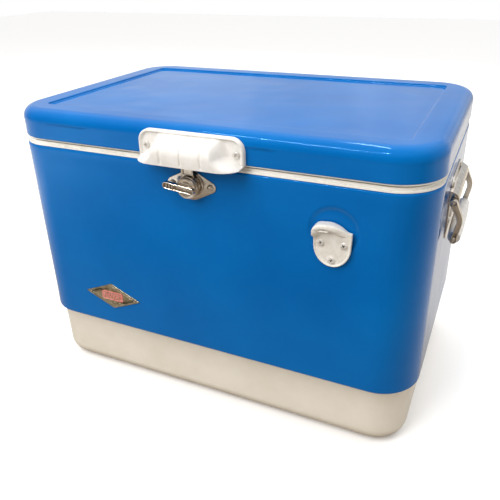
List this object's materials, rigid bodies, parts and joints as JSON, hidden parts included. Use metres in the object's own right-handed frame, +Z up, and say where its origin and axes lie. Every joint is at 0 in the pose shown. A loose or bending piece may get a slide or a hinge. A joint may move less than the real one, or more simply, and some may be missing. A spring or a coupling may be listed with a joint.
{
  "type": "vintage soda cooler chest",
  "caption": "Rectangular insulated picnic chest: painted steel case on a moulded base, hinged lid with a hooded handle, turn latch, wall bottle opener, fold-down bail handles and a side drain.",
  "frame": {"origin": "centre of the base pan's flat underside", "axes": "+Z up, -Y the front with the latch and lid handle, +X the chest's right seen from the front, along its length"},
  "size_m": [0.644, 0.4326, 0.427],
  "materials": {
    "blue_enamel": "gloss",
    "ivory_plastic": "satin",
    "liner_plastic": "gloss",
    "handle_plastic": "satin",
    "foam": "matt rigid foam",
    "nickel": "polished nickel plate",
    "seal_rubber": "matt",
    "opener_enamel": "satin",
    "badge_metal": "brushed and aged",
    "badge_red": "gloss enamel"
  },
  "bodies": {
    "chest": {"outer_case": "blue_enamel", "base_pan": "ivory_plastic", "inner_liner": "liner_plastic", "body_foam": "foam", "latch_plate": "nickel", "latch_plate_screws": "nickel", "latch_boss": "nickel", "bottle_opener": "opener_enamel", "opener_screws": "nickel", "badge_plate": "badge_metal", "badge_plaque": "badge_red", "badge_rivets": "nickel", "bracket_right": "nickel", "bracket_screws_right": "nickel", "bracket_left": "nickel", "bracket_screws_left": "nickel", "hinge_leaves_body": "nickel", "hinge_pins": "nickel", "hinge_screws_body": "nickel", "drain_spout": "liner_plastic", "drain_washer": "seal_rubber", "drain_nut": "liner_plastic"},
    "lid": {"lid_shell": "blue_enamel", "lid_liner": "liner_plastic", "lid_foam": "foam", "lid_gasket": "seal_rubber", "lid_handle": "handle_plastic", "lid_handle_screws": "nickel", "strike": "nickel", "strike_screws": "nickel", "hinge_leaves_lid": "nickel", "hinge_screws_lid": "nickel"},
    "turn_latch": {"latch_cam": "nickel", "latch_lever": "nickel", "latch_spindle": "nickel", "latch_retainer": "nickel"},
    "right_bail": {"bail_right": "nickel", "grip_right": "handle_plastic"},
    "left_bail": {"bail_left": "nickel", "grip_left": "handle_plastic"},
    "screw_cap": {"drain_cap": "liner_plastic", "drain_cap_seal": "seal_rubber"}
  },
  "joints": [
    {"name": "lid_hinge", "type": "hinge", "parent": "chest", "child": "lid", "pos_m": [0, 0.201, 0.382], "axis": [-1, 0, 0], "range_deg": [0, 100]},
    {"name": "latch_turn", "type": "hinge", "parent": "chest", "child": "turn_latch", "pos_m": [0, -0.2, 0.352], "axis": [0, -1, 0], "range_deg": [0, 90]},
    {"name": "right_bail_swing", "type": "hinge", "parent": "chest", "child": "right_bail", "pos_m": [0.3065, 0, 0.326], "axis": [0, -1, 0], "range_deg": [0, 95]},
    {"name": "left_bail_swing", "type": "hinge", "parent": "chest", "child": "left_bail", "pos_m": [-0.3065, 0, 0.326], "axis": [0, 1, 0], "range_deg": [0, 95]},
    {"name": "drain_cap_turn", "type": "hinge", "parent": "chest", "child": "screw_cap", "pos_m": [-0.3, 0, 0.067], "axis": [-1, 0, 0], "range_deg": [0, 540]}
  ]
}
